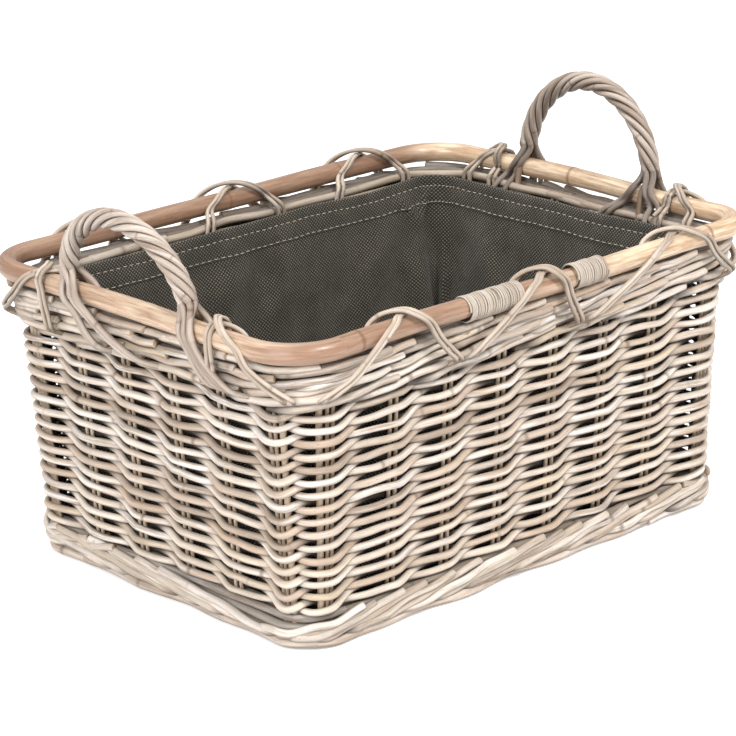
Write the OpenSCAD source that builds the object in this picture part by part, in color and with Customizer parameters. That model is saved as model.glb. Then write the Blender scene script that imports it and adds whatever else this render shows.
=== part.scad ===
// Lined log basket: rectangular twined body, pole rim, two rope-twist handles.
// Millimetres, +Z up, origin at the middle of the footprint on the resting plane.

/* [Body] */
// Length of the pole rim between pole centres
rim_length = 580; // [400:5:800]
// Width of the pole rim between pole centres
rim_width = 432; // [300:4:600]
// Height of the pole centre above the floor
rim_height = 281; // [200:1:400]
// Bend radius of the pole at each corner
rim_bend = 50; // [30:1:90]
// Corner radius of the wall where it meets the base
wall_corner = 28.8; // [24:0.2:60]
// Outward lean of the wall, mm out per mm up
wall_lean = 0.0613; // [0:0.0001:0.2]
// How far the pole hangs outside the line of the uprights
pole_overhang = 12; // [8:0.5:20]

/* [Rods and canes] */
// Pole thickness
pole_d = 19; // [14:0.5:26]
// Thin upright rod thickness
upright_d = 3.6; // [2.5:0.1:6]
// Gap between the centres of the two rods of a pair
upright_gap = 7.4; // [5:0.1:12]
// Gap between the centres of the two thin rods at each end of a corner
corner_gap = 5.2; // [4:0.1:8]
// Thick corner post thickness
post_d = 6; // [4:0.5:10]
// Spacing of the upright pairs along a side
upright_pitch = 66; // [40:1:90]
// Lashing cane thickness
cane_d = 4.4; // [3:0.1:6]
// Floor ring cane thickness
ring_d = 12; // [8:0.5:16]
// Cross rib thickness
rib_d = 5; // [3:0.5:8]

/* [Weave] */
// Height of the border round the foot
foot_border = 34; // [20:1:50]
// Height at which the twined courses stop
weave_top = 226; // [150:1:300]
// Top of the border under the pole
border_top = 269; // [200:1:340]
// Thickness of the twined wall
weave_thick = 20; // [12:0.5:30]
// Clearance round a rod in the weave
rod_clear = 0.3; // [0.1:0.05:1]

/* [Handles] */
// Spacing of the two feet of a handle
handle_span = 168; // [120:2:220]
// Height of the left handle's centre line above the pole centre
left_rise = 84; // [60:1:130]
// Height of the right handle's centre line above the pole centre
right_rise = 101; // [60:1:130]
// Outward tilt of the left handle, degrees
left_tilt = 8; // [0:0.5:20]
// Outward tilt of the right handle, degrees
right_tilt = 2; // [0:0.5:20]
// Height above the pole centre where the rope begins
rope_low = 26; // [22:1:40]
// Bent core rod thickness
bow_d = 6.2; // [4:0.1:16]
// Thickness of each rod of the rope
strand_d = 6; // [4:0.1:9]
// Rods in the rope
strand_count = 6; // [3:1:8]
// Turns the rods of the rope make from foot to foot
rope_turns = 2.3333; // [1:0.1667:4]

/* [Liner] */
// Fabric thickness, folded edges included
liner_thick = 3; // [2:0.5:5]
// Top edge of the liner
liner_top = 262; // [150:1:280]
// Depth of the hem band
hem_depth = 28; // [10:1:40]

/* [Show] */
// Piece to draw, or all

/* [Hidden] */
$fn = 48;
gap = 0.3;               // clearance between neighbouring pieces
base_z = 4;              // underside of the woven floor
base_thick = 12;         // woven floor thickness
rib_count = 9;
weave_in = weave_thick / 2;
weave_out = weave_thick / 2;
border_in = 8;           // border reach inside the line of the uprights
border_out = 14;         // border reach outside it at the bottom edge
border_bulge = 19;       // and where it is fullest
border_full_z = 250;     // height where the border is fullest
foot_out = 13;           // foot border reach outside
upright_foot = 5;        // lower end of the uprights
upright_top = 262;       // their upper end, inside the border
cos_lean = 1 / sqrt(1 + wall_lean * wall_lean);
lean_angle = atan(wall_lean);

// Corner centres of the wall, fixed at every height, and of the pole
wall_cx = rim_length / 2 - pole_overhang - wall_corner - wall_lean * rim_height;
wall_cy = rim_width / 2 - pole_overhang - wall_corner - wall_lean * rim_height;
pole_cx = rim_length / 2 - rim_bend;
pole_cy = rim_width / 2 - rim_bend;
ref_bend = 50;           // bend radius used to measure along the wall
arc_len = ref_bend * PI / 2;
side_x = 2 * wall_cx;
side_y = 2 * wall_cy;
perimeter = 2 * side_x + 2 * side_y + 4 * arc_len;

// Radius of the line of the uprights about a corner centre, at height z
function wall_r(z) = wall_corner + wall_lean * z;

// Clearance angles of the uprights in a corner, from the end of a long side
pair_turn = 8.7;
post_turn = 23.3;

function wrap(u) = u - perimeter * floor(u / perimeter);

// Side of the ring (0 front, 2 right, 4 back, 6 left, odd for corners) and the way along it
function leg_start(k) =
    k == 0 ? 0 :
    leg_start(k - 1) + ((k - 1) % 2 == 1 ? arc_len : (k - 1) % 4 == 0 ? side_x : side_y);
function leg_of(u, k = 7) = u >= leg_start(k) ? k : leg_of(u, k - 1);

// Unit normal direction angle and corner centre signs at u
function spot(u) =
    let (w = wrap(u), k = leg_of(w), t = w - leg_start(k))
    k % 2 == 1
        ? [-90 + (k - 1) * 45 + 90 * t / arc_len,
           (k == 1 || k == 3) ? 1 : -1, (k == 3 || k == 5) ? 1 : -1]
        : k == 0 ? [-90, 2 * t / side_x - 1, -1]
        : k == 2 ? [0, 1, 2 * t / side_y - 1]
        : k == 4 ? [90, 1 - 2 * t / side_x, 1]
        : [180, -1, 1 - 2 * t / side_y];

// Point at u round the ring, out beyond the upright line, at height z.
// blend 0 follows the wall, 1 follows the pole centre line
function ring_point(u, out, z, blend = 0) =
    let (s = spot(u),
         cx = wall_cx + blend * (pole_cx - wall_cx),
         cy = wall_cy + blend * (pole_cy - wall_cy),
         r = (1 - blend) * wall_r(z) + blend * rim_bend + out)
    [s[1] * cx + r * cos(s[0]), s[2] * cy + r * sin(s[0]), z];

// ---- helpers ----

function unit(v) = v / norm(v);

// Path tangents, and frames carried along without twist
function tangent(p, i) =
    unit(p[min(i + 1, len(p) - 1)] - p[max(i - 1, 0)]);
function carry(n, t) = unit(n - (n * t) * t);
function start_normal(t) = carry(abs(t[2]) < 0.9 ? [0, 0, 1] : [1, 0, 0], t);
function normals(p, i = 0, acc = []) =
    i == len(p) ? acc
    : normals(p, i + 1, concat(acc,
        [i == 0 ? start_normal(tangent(p, 0)) : carry(acc[i - 1], tangent(p, i))]));

// Solid round rod swept along a path
module sweep_rod(p, d, sides = 6) {
    ns = normals(p);
    n = len(p);
    pts = [for (i = [0 : n - 1]) let (t = tangent(p, i), b = cross(t, ns[i]))
        for (j = [0 : sides - 1]) let (a = 360 * j / sides)
            p[i] + d / 2 * (cos(a) * ns[i] + sin(a) * b)];
    side_faces = [for (i = [0 : n - 2]) for (j = [0 : sides - 1])
        let (a = i * sides + j, b = i * sides + (j + 1) % sides)
            each [[a, a + sides, b], [b, a + sides, b + sides]]];
    low_cap = [[for (j = [0 : sides - 1]) j]];
    high_cap = [[for (j = [sides - 1 : -1 : 0]) (n - 1) * sides + j]];
    polyhedron(pts, concat(side_faces, low_cap, high_cap), convexity = 6);
}

// Places a child at each side's middle, with the child's +X along the side
module on_side(side) {
    if (side == "front") translate([0, -wall_cy, 0]) children();
    if (side == "back") translate([0, wall_cy, 0]) rotate([0, 0, 180]) children();
    if (side == "right") translate([wall_cx, 0, 0]) rotate([0, 0, 90]) children();
    if (side == "left") translate([-wall_cx, 0, 0]) rotate([0, 0, -90]) children();
}
function side_len(side) = (side == "front" || side == "back") ? side_x : side_y;

// Places a child at each corner centre, turned so the corner runs from 0 to 90 degrees
module on_corner(corner) {
    if (corner == "front_right") translate([wall_cx, -wall_cy, 0]) rotate([0, 0, -90]) children();
    if (corner == "back_right") translate([wall_cx, wall_cy, 0]) children();
    if (corner == "back_left") translate([-wall_cx, wall_cy, 0]) rotate([0, 0, 90]) children();
    if (corner == "front_left") translate([-wall_cx, -wall_cy, 0]) rotate([0, 0, 180]) children();
}

// Leaning rod standing in the wall, radius line through the origin along +X
module wall_rod(d, low, high) {
    translate([wall_r(low), 0, low]) rotate([0, lean_angle, 0])
        cylinder(d = d, h = (high - low) / cos_lean);
}

// All the rods of one side, or the holes for them when grow is more than 0
module side_rods(side, grow = 0, low = upright_foot, high = upright_top) {
    count = (side == "front" || side == "back") ? 6 : 4;
    on_side(side) for (i = [0 : count - 1])
        for (s = [-1, 1])
            translate([(i - (count - 1) / 2) * upright_pitch + s * upright_gap / 2, 0, 0])
                rotate([0, 0, -90]) wall_rod(upright_d + 2 * grow, low, high);
}

// Thin rods and thick posts of one corner
module corner_thin(corner, grow = 0, low = upright_foot, high = upright_top) {
    half_gap = corner_gap / 2 / wall_r(rim_height / 2) * 180 / PI;
    on_corner(corner) for (a = [pair_turn, 90 - pair_turn]) for (s = [-1, 1])
        rotate([0, 0, a + s * half_gap]) wall_rod(upright_d + 2 * grow, low, high);
}
module corner_thick(corner, grow = 0, low = upright_foot, high = upright_top) {
    on_corner(corner) for (a = [post_turn, 90 - post_turn])
        rotate([0, 0, a]) wall_rod(post_d + 2 * grow, low, high);
}

// Section of a wall band between two heights: radius across, height up
module band_section(low, high, inner, outer) {
    polygon([[wall_r(low) - inner, low], [wall_r(low) + outer, low],
             [wall_r(high) + outer, high], [wall_r(high) - inner, high]]);
}
module border_section() {
    low = weave_top + gap;
    polygon([[wall_r(low) - border_in, low],
             [wall_r(low) + border_out, low],
             [wall_r(border_full_z) + border_bulge, border_full_z],
             [wall_r(border_top) + border_bulge - 2, border_top],
             [wall_r(border_top) - border_in + 2, border_top]]);
}
module foot_section() {
    high = foot_border;
    polygon([[wall_r(0) - border_in, 0], [wall_r(0) + foot_out - 3, 0],
             [wall_r(8) + foot_out, 8], [wall_r(high) + foot_out - 2, high],
             [wall_r(high) - border_in, high]]);
}
module weave_section() {
    band_section(foot_border + gap, weave_top, weave_in, weave_out);
}

// Carries a wall section along a side, or round a corner
module side_run(side) {
    on_side(side) rotate([90, 0, -90])
        linear_extrude(side_len(side) - 2 * gap, center = true) children();
}
module corner_run(corner) {
    on_corner(corner) rotate_extrude(angle = 90) children();
}

// ---- floor ----

ring_in = 10 + ring_d / 2;   // floor ring centre inside the upright line
floor_cut = ring_in + ring_d / 2 + gap;
module rounded_plate(inset, low, high) {
    r = wall_r(low) - inset;
    translate([0, 0, low]) linear_extrude(high - low) union() {
        square([2 * wall_cx, 2 * (wall_cy + r)], center = true);
        square([2 * (wall_cx + r), 2 * wall_cy], center = true);
        for (x = [-1, 1]) for (y = [-1, 1])
            translate([x * wall_cx, y * wall_cy]) circle(r);
    }
}
module rib_rods(grow = 0) {
    reach = wall_cy + wall_r(base_z) - floor_cut - 1;
    span = 2 * (wall_cx + wall_r(base_z) - floor_cut);
    for (i = [0 : rib_count - 1])
        translate([(i - (rib_count - 1) / 2) * span / rib_count, 0, base_z + base_thick / 2])
            rotate([90, 0, 0]) cylinder(d = rib_d + 2 * grow, h = 2 * reach + 6 * grow, center = true);
}
module floor_ribs() { color("Peru") rib_rods(); }
module floor_weave() {
    color("BurlyWood") difference() {
        rounded_plate(floor_cut, base_z, base_z + base_thick);
        rib_rods(rod_clear);
    }
}
module floor_ring() {
    r = wall_r(base_z) - ring_in;
    z = base_z + ring_d / 2;
    color("SaddleBrown") union() {
        for (y = [-1, 1]) translate([0, y * (wall_cy + r), z]) rotate([0, 90, 0])
            cylinder(d = ring_d, h = side_x, center = true);
        for (x = [-1, 1]) translate([x * (wall_cx + r), 0, z]) rotate([90, 0, 0])
            cylinder(d = ring_d, h = side_y, center = true);
        for (k = [0 : 3]) translate([(k == 0 || k == 3 ? 1 : -1) * wall_cx, (k < 2 ? 1 : -1) * wall_cy, z])
            rotate([0, 0, 90 * k]) rotate_extrude(angle = 90) translate([r, 0]) circle(d = ring_d);
    }
}

// ---- wall ----

module uprights(side) { color("Tan") side_rods(side); }
module corner_rods(corner) { color("Tan") corner_thin(corner); }
module corner_posts(corner) { color("SandyBrown") corner_thick(corner); }

module side_holes(side) { side_rods(side, rod_clear, upright_foot - 1, upright_top + 1); }
module corner_holes(corner) {
    corner_thin(corner, rod_clear, upright_foot - 1, upright_top + 1);
    corner_thick(corner, rod_clear, upright_foot - 1, upright_top + 1);
}

module wall_side(side) {
    color("Wheat") difference() {
        side_run(side) weave_section();
        side_holes(side);
    }
}
module wall_corner_panel(corner) {
    color("BlanchedAlmond") difference() {
        corner_run(corner) weave_section();
        corner_holes(corner);
    }
}
module foot_side(side) {
    color("Burlywood") difference() {
        side_run(side) foot_section();
        side_holes(side);
    }
}
module foot_corner(corner) {
    color("Tan") difference() {
        corner_run(corner) foot_section();
        corner_holes(corner);
    }
}
module border_side(side) {
    color("Bisque") difference() {
        side_run(side) border_section();
        side_holes(side);
        if (side == "left") handle_holes(-1);
        if (side == "right") handle_holes(1);
    }
}
module border_corner(corner) {
    color("NavajoWhite") difference() {
        corner_run(corner) border_section();
        corner_holes(corner);
    }
}

// ---- rim pole ----

scarf_x = 4;             // middle of the pole's splice, on the front
scarf_slope = 14;        // degrees
knot_pitch = 145;        // spacing of the pole's node rings
module knot(x, y, turn) {
    translate([x, y, rim_height]) rotate([0, 90, turn])
        cylinder(d = pole_d + 1, h = 2.4, center = true);
}
module rim_pole() {
    color("Chocolate") difference() {
        union() {
            for (y = [-1, 1]) translate([0, y * rim_width / 2, rim_height]) rotate([0, 90, 0])
                cylinder(d = pole_d, h = 2 * pole_cx, center = true);
            for (x = [-1, 1]) translate([x * rim_length / 2, 0, rim_height]) rotate([90, 0, 0])
                cylinder(d = pole_d, h = 2 * pole_cy, center = true);
            for (k = [0 : 3])
                translate([(k == 0 || k == 3 ? 1 : -1) * pole_cx, (k < 2 ? 1 : -1) * pole_cy, rim_height])
                    rotate([0, 0, 90 * k]) rotate_extrude(angle = 90)
                        translate([rim_bend, 0]) circle(d = pole_d);
            for (x = [-1.5, 1.5]) knot(x * knot_pitch, -rim_width / 2, 0);
            for (x = [-1, 0, 1]) knot(x * knot_pitch, rim_width / 2, 0);
            for (x = [-1, 1]) knot(x * rim_length / 2, x * 22, 90);
        }
        translate([scarf_x, -rim_width / 2, rim_height]) rotate([0, scarf_slope, 0])
            cube([110, 2 * pole_d, 0.4], center = true);
    }
}

// Cane wound round the splice, on either side of the middle lashing
whip_left = [-97, -26];
whip_right = [38, 80];
module whipping(x) {
    color("Cornsilk") translate([x[0], -rim_width / 2, rim_height]) rotate([0, 90, 0]) difference() {
        cylinder(d = pole_d + 5, h = x[1] - x[0]);
        translate([0, 0, -1]) cylinder(d = pole_d + 0.4, h = x[1] - x[0] + 2);
    }
}

// ---- lashings ----

cane_pair = 2.7;         // half the spacing of the two canes of a pair
cane_roll = pole_d / 2 + gap + cane_d / 2 + 0.3;
face_out = border_bulge + gap + cane_d / 2 + 0.5;
face_in = border_in + gap + cane_d / 2 + 0.2;
leg_steps = 4;           // stretches of the leg on the outer face
cane_steps = 6;          // stretches over the pole
// Route of one cane: foot on the outer face, over the pole at lift, foot behind the liner
function cane_path(u_out, u_top, u_in, lift) = concat(
    [for (i = [0 : leg_steps]) let (t = i / leg_steps)
        ring_point(u_out + 0.78 * t * (u_top - u_out), face_out + 1.2 * t, 238 + 26 * t)],
    [for (i = [0 : cane_steps]) let (
        a = 180 * i / cane_steps, t = i / cane_steps,
        roll = cane_roll + lift * sin(a),
        u = t < 0.5 ? u_out + (0.84 + 0.32 * t) * (u_top - u_out)
                    : u_top + (0.32 * t - 0.16) * (u_in - u_top))
        ring_point(u, roll * cos(a), rim_height + roll * sin(a), 1)],
    [ring_point(u_top + 0.4 * (u_in - u_top), -face_in + 1.4, 270),
     ring_point(u_top + 0.6 * (u_in - u_top), -face_in, 262),
     ring_point(u_in, -face_in, 243)]);
module cane_twins(u_out, u_top, u_in, lift) {
    for (s = [-cane_pair, cane_pair])
        sweep_rod(cane_path(u_out + s, u_top + s, u_in + s, lift), cane_d);
}
// Two pairs of canes that cross on top of the pole
module lashing(out_low, in_low, apex, in_high, out_high) {
    color("DarkKhaki") {
        cane_twins(out_low, apex, in_high, 0);
        cane_twins(out_high, apex, in_low, cane_d + gap);
    }
}
back_start = side_x + side_y + 2 * arc_len;
left_start = 2 * side_x + side_y + 3 * arc_len;
right_start = side_x + arc_len;
module on_back(apex) {
    u = back_start + apex;
    lashing(u - 73, u - 45, u, u + 45, u + 75);
}
// Beside a handle: one leg goes to the corner, the other stays close to the handle's foot
module on_end(start, at, way) {
    u = start + at - way * 47;
    if (way > 0) lashing(u + 3, u - 2, u, u + 34, u + 79);
    if (way < 0) lashing(u - 79, u - 34, u, u + 2, u - 3);
}

// ---- handles ----

half_span = handle_span / 2;
arch_base = 12;          // widest part of the arch above the pole centre
function rise(end) = end < 0 ? left_rise : right_rise;
function tilt(end) = end < 0 ? left_tilt : right_tilt;
// Arch angle where the rope begins, and at share t of the rope
function arch_start(end) = asin((rope_low - arch_base) / (rise(end) - arch_base));
function arch_at(end, t) = arch_start(end) + (180 - 2 * arch_start(end)) * t;
// Point of the arch, out from its centre line and across its plane
function arch_point(end, a, out = 0, across = 0) =
    [across, (half_span + out) * cos(a), arch_base + (rise(end) - arch_base + out) * sin(a)];
function tilt_point(end, p) =
    let (c = cos(tilt(end)), s = end * sin(tilt(end)))
    [end * rim_length / 2 + p[0] * c + p[2] * s, p[1], rim_height - p[0] * s + p[2] * c];

// Core rod: up through the border inside the pole, round the pole's shoulder, into the arch
bow_low = 41;            // bow end below the pole centre
leg_lean = 11;
bow_ring = pole_d / 2 + gap + bow_d / 2 + 0.2;
shoulder_end = 145;      // angle round the pole where the rod leaves it
function foot_y(end) = half_span * cos(arch_start(end));
function shoulder(a) = [bow_ring * cos(a), bow_ring * sin(a)];
function leg_point(low) =
    shoulder(180 - leg_lean)
        - (low + bow_ring * sin(leg_lean)) / cos(leg_lean) * [sin(leg_lean), cos(leg_lean)];
function bow_blend(end, t) =
    let (q0 = shoulder(shoulder_end), q3 = rope_low * [sin(tilt(end)), cos(tilt(end))],
         q1 = q0 + 9 * [sin(shoulder_end), -cos(shoulder_end)],
         q2 = q3 - 9 * [sin(tilt(end)), cos(tilt(end))], r = 1 - t)
    r * r * r * q0 + 3 * r * r * t * q1 + 3 * r * t * t * q2 + t * t * t * q3;
// Point of an end: out from the pole centre, along it, and above it
function end_point(end, p, y) = [end * (rim_length / 2 + p[0]), y, rim_height + p[1]];
function bow_foot(end, y) =
    [for (p = concat([leg_point(bow_low)],
                     [for (a = [180 - leg_lean : -12 : shoulder_end]) shoulder(a)],
                     [for (i = [0 : 5]) bow_blend(end, i / 6)])) end_point(end, p, y)];
function reversed(v) = [for (i = [len(v) - 1 : -1 : 0]) v[i]];
module handle_holes(end) {
    for (y = [-1, 1]) sweep_rod([for (low = [bow_low + 6, 0])
        end_point(end, leg_point(low), y * foot_y(end))], bow_d + 2 * rod_clear);
}
module handle_bow(end) {
    color("Sienna") sweep_rod(concat(
        bow_foot(end, foot_y(end)),
        [for (i = [0 : rope_steps]) tilt_point(end, arch_point(end, arch_at(end, i / rope_steps)))],
        reversed(bow_foot(end, -foot_y(end)))), bow_d);
}

// Rope: rods wound round the core, from foot to foot
rope_r = bow_d / 2 + 0.6 + strand_d / 2;
rope_steps = 30;
rope_turn = 360 * rope_turns;
first_turn = 30;
// Turn of rod k at its near and far foot
function foot_turn(k, far) = 360 * k / strand_count + first_turn + (far ? rope_turn : 0);
// Point of rod k at share t of the rope, in the handle's own frame
function rope_point(end, k, t) =
    let (w = foot_turn(k, false) + rope_turn * t)
    arch_point(end, arch_at(end, t), rope_r * cos(w), rope_r * sin(w));
module handle_rope(end) {
    color("RosyBrown") for (k = [0 : strand_count - 1]) sweep_rod(
        [for (i = [0 : rope_steps]) tilt_point(end, rope_point(end, k, i / rope_steps))], strand_d);
}

// Feet of the handle: the rope's rods fan out over the pole to either face of the border
tail_roll = pole_d / 2 + gap + strand_d / 2 + 0.3;
tail_out = border_bulge + gap + strand_d / 2 + 0.5;
tail_in = border_in + gap + strand_d / 2 + 0.1;
fan_out = 18;            // widest sideways reach of a tail on the outer face
tail_gap = 5;            // from the end of the rope to the start of a tail
tail_turn = 15;          // further turn of a rod over that gap
// Sideways reach: outer tails spread evenly, inner ones pass either side of the core
function fan(face, c) = face > 0 ? fan_out * c : (c < 0 ? -1 : 1) * (abs(c) > 0.9 ? 18 : 11);
function end_u(end) = (end > 0 ? right_start : left_start) + side_y / 2;
// Point v along an end from its middle, level with the pole
function pole_end(end, v, out, z) = ring_point(end_u(end) + v * wall_cy / pole_cy, out, z, 1);
function wall_end(end, v, out, z) = ring_point(end_u(end) + v, out, z);
function tail_route(end, v, face, spread) =
    face > 0
        ? [pole_end(end, v + spread * 0.4, tail_roll * cos(45), rim_height + tail_roll * sin(45)),
           pole_end(end, v + spread * 0.45, tail_roll * cos(20), rim_height + tail_roll * sin(20)),
           pole_end(end, v + spread * 0.5, tail_roll, rim_height - 3),
           wall_end(end, v + spread * 0.8, tail_out, 258),
           wall_end(end, v + spread, tail_out - 0.3, 236)]
        : [pole_end(end, v + spread, -tail_roll - 1, rim_height + 9),
           wall_end(end, v + spread, -tail_in, 262),
           wall_end(end, v + spread, -tail_in, 243)];
function foot_tail(end, k, far) =
    let (w = foot_turn(k, far) + (far ? tail_turn : -tail_turn), face = sin(w) * end > 0 ? 1 : -1,
         at = tilt_point(end, rope_point(end, k, far ? 1 : 0)),
         back = tilt_point(end, rope_point(end, k, far ? 0.99 : 0.01)),
         v = end * (far ? -1 : 1) * foot_y(end))
    concat([at + tail_gap * unit(at - back)],
        tail_route(end, v, face, (far ? -end : end) * fan(face, cos(w))));
module handle_feet(end) {
    color("Tan") for (k = [0 : strand_count - 1]) for (far = [false, true])
        sweep_rod(foot_tail(end, k, far), strand_d);
}

// ---- liner ----

liner_out = 15.3;        // outer face of the fabric inside the upright line
liner_low = base_z + base_thick + 0.2;
module liner_plug(inset, low, high) {
    hull() {
        rounded_plate(inset, low, low + 0.2);
        rounded_plate(inset, high - 0.2, high);
    }
}
module liner() {
    color("DimGray") difference() {
        liner_plug(liner_out, liner_low, liner_top);
        liner_plug(liner_out + liner_thick, liner_low + liner_thick, liner_top + 1);
    }
}
hem_thick = 1.6;
module liner_hem() {
    inset = liner_out + liner_thick + 0.15;
    low = liner_top - hem_depth;
    color("SlateGray") difference() {
        liner_plug(inset, low, liner_top - 1);
        liner_plug(inset + hem_thick, low - 1, liner_top + 1);
    }
}

floor_weave();
floor_ribs();
floor_ring();
foot_side("front");  // foot_border_front
foot_side("back");  // foot_border_back
foot_side("left");  // foot_border_left
foot_side("right");  // foot_border_right
foot_corner("front_left");  // foot_corner_front_left
foot_corner("front_right");  // foot_corner_front_right
foot_corner("back_left");  // foot_corner_back_left
foot_corner("back_right");  // foot_corner_back_right
uprights("front");  // uprights_front
uprights("back");  // uprights_back
uprights("left");  // uprights_left
uprights("right");  // uprights_right
corner_posts("front_left");  // corner_posts_front_left
corner_posts("front_right");  // corner_posts_front_right
corner_posts("back_left");  // corner_posts_back_left
corner_posts("back_right");  // corner_posts_back_right
corner_rods("front_left");  // corner_rods_front_left
corner_rods("front_right");  // corner_rods_front_right
corner_rods("back_left");  // corner_rods_back_left
corner_rods("back_right");  // corner_rods_back_right
wall_side("front");  // wall_front
wall_side("back");  // wall_back
wall_side("left");  // wall_left
wall_side("right");  // wall_right
wall_corner_panel("front_left");  // wall_corner_front_left
wall_corner_panel("front_right");  // wall_corner_front_right
wall_corner_panel("back_left");  // wall_corner_back_left
wall_corner_panel("back_right");  // wall_corner_back_right
border_side("front");  // top_border_front
border_side("back");  // top_border_back
border_side("left");  // top_border_left
border_side("right");  // top_border_right
border_corner("front_left");  // top_corner_front_left
border_corner("front_right");  // top_corner_front_right
border_corner("back_left");  // top_corner_back_left
border_corner("back_right");  // top_corner_back_right
rim_pole();
whipping(whip_left);  // splice_whipping_left
whipping(whip_right);  // splice_whipping_right
lashing(-19, 34, 68, 106, 125);  // lashing_front_left
lashing(143, 201, 236, 273, 277);  // lashing_front_middle
lashing(295, 366, 402, 434, 483);  // lashing_front_right
on_back(395);  // lashing_back_left
on_back(228);  // lashing_back_middle
on_back(62);  // lashing_back_right
on_end(left_start, side_y, 1);  // lashing_left_front
on_end(left_start, 0, -1);  // lashing_left_back
on_end(right_start, 0, -1);  // lashing_right_front
on_end(right_start, side_y, 1);  // lashing_right_back
handle_bow(-1);  // handle_bow_left
handle_bow(1);  // handle_bow_right
handle_rope(-1);  // handle_rope_left
handle_rope(1);  // handle_rope_right
handle_feet(-1);  // handle_feet_left
handle_feet(1);  // handle_feet_right
liner();
liner_hem();
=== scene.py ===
"""Looks of the lined log basket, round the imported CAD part. Metres, +Z up.

The basket is followed by its station u, in metres round it from the left end of the front,
anticlockwise from above, as in the part's source. Sizes come from the CAD boxes, or repeat the
source where a box doesn't show them."""

import math

import bpy
import numpy as np
from mathutils import Matrix, Vector


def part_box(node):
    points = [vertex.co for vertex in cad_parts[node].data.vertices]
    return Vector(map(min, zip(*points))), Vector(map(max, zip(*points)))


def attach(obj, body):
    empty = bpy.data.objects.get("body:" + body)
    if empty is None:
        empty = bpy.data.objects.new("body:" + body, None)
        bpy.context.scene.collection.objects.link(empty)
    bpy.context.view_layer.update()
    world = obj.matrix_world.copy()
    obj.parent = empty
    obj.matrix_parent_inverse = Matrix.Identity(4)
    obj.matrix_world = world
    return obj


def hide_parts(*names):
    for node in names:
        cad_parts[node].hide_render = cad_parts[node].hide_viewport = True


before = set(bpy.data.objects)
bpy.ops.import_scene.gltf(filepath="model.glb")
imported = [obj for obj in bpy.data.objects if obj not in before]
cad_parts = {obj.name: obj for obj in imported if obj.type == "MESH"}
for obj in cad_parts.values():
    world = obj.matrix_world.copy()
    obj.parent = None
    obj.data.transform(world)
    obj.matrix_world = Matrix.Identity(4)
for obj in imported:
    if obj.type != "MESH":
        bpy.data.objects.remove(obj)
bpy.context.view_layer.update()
TAU = 2 * math.pi
rng = np.random.default_rng(11)


# ---- sizes from the CAD ----

def ends(node):
    low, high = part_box(node)
    return np.array(low), np.array(high)


SEAM = 0.0003                       # gap that the CAD leaves between neighbouring pieces
SLAB = 0.010                        # half the thickness of the CAD wall
wall_low, wall_high = ends("wall_front")
CX = wall_high[0] + SEAM            # corner centres of the wall
CY = ends("wall_right")[1][1] + SEAM
LEAN = ((-wall_low[1] - SLAB) - (-wall_high[1] + SLAB)) / (wall_high[2] - wall_low[2])
R0 = -wall_high[1] + SLAB - CY - LEAN * wall_low[2]

pole_low, pole_high = ends("rim_pole")
POLE_R = 0.0095
KNOT_R = 0.010
POLE_Z = (pole_low[2] + pole_high[2]) / 2
RIM_X, RIM_Y = pole_high[0] - KNOT_R, pole_high[1] - KNOT_R
BEND = 0.050                        # bend of the pole at the corners
PITCH = 0.066                       # spacing of the upright pairs

ARC = BEND * math.pi / 2
LEGS = np.cumsum([0, 2 * CX, ARC, 2 * CY, ARC, 2 * CX, ARC, 2 * CY])
AROUND = LEGS[7] + ARC
RIGHT, BACK, LEFT = LEGS[2], LEGS[4], LEGS[6]


def heading(u):
    """Leg of the ring at u, the way along it, and the angle that its outside faces."""
    w = np.mod(u, AROUND)
    leg = np.searchsorted(LEGS, w, side="right") - 1
    t = w - LEGS[leg]
    face = np.where(leg % 2 == 1, -90 + (leg - 1) * 45 + 90 * t / ARC, -90 + leg * 45)
    return leg, t, np.radians(face)


def ring(u, out, z, blend=0.0):
    """Points at station u, out beyond the line of the uprights (blend 0) or of the pole (1)."""
    u, out, z, blend = np.broadcast_arrays(*(np.asarray(x, float) for x in (u, out, z, blend)))
    leg, t, face = heading(u)
    one = np.ones_like(t)
    sx = np.choose(leg, [t / CX - 1, one, one, one, 1 - t / CX, -one, -one, -one])
    sy = np.choose(leg, [-one, -one, t / CY - 1, one, one, one, 1 - t / CY, -one])
    cx = CX + blend * (RIM_X - BEND - CX)
    cy = CY + blend * (RIM_Y - BEND - CY)
    r = (1 - blend) * (R0 + LEAN * z) + blend * BEND + out
    return np.stack([sx * cx + r * np.cos(face), sy * cy + r * np.sin(face), z], -1)


def outward(u):
    face = heading(u)[2]
    return np.stack([np.cos(face), np.sin(face), 0 * face], -1)


# Groups of uprights: the pairs along the sides, and a pair with a post at each end of a corner
GROUPS, THICK = [], []
for leg in range(8):
    if leg % 2:
        GROUPS += [LEGS[leg] + ARC * degrees / 90 for degrees in (16, 74)]
        THICK += [1, 1]
    else:
        count, half = (6, CX) if leg % 4 == 0 else (4, CY)
        GROUPS += [LEGS[leg] + half + (i - (count - 1) / 2) * PITCH for i in range(count)]
        THICK += [0] * count
GROUPS, THICK = np.array(GROUPS), np.array(THICK, float)
COUNT = len(GROUPS)


def wobble(u, seed, low=3, high=12, around=AROUND):
    """A smooth wave round the basket, of about unit size, the same each run for a seed."""
    r = np.random.default_rng(seed)
    waves = range(low, high)
    total = sum(r.normal() * np.sin(TAU * k * u / around + r.uniform(0, TAU)) for k in waves)
    return total / math.sqrt(len(waves) / 2)


def smooth(x, a=0.0, b=1.0):
    t = np.clip((np.asarray(x, float) - a) / (b - a), 0, 1)
    return t * t * (3 - 2 * t)


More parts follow.
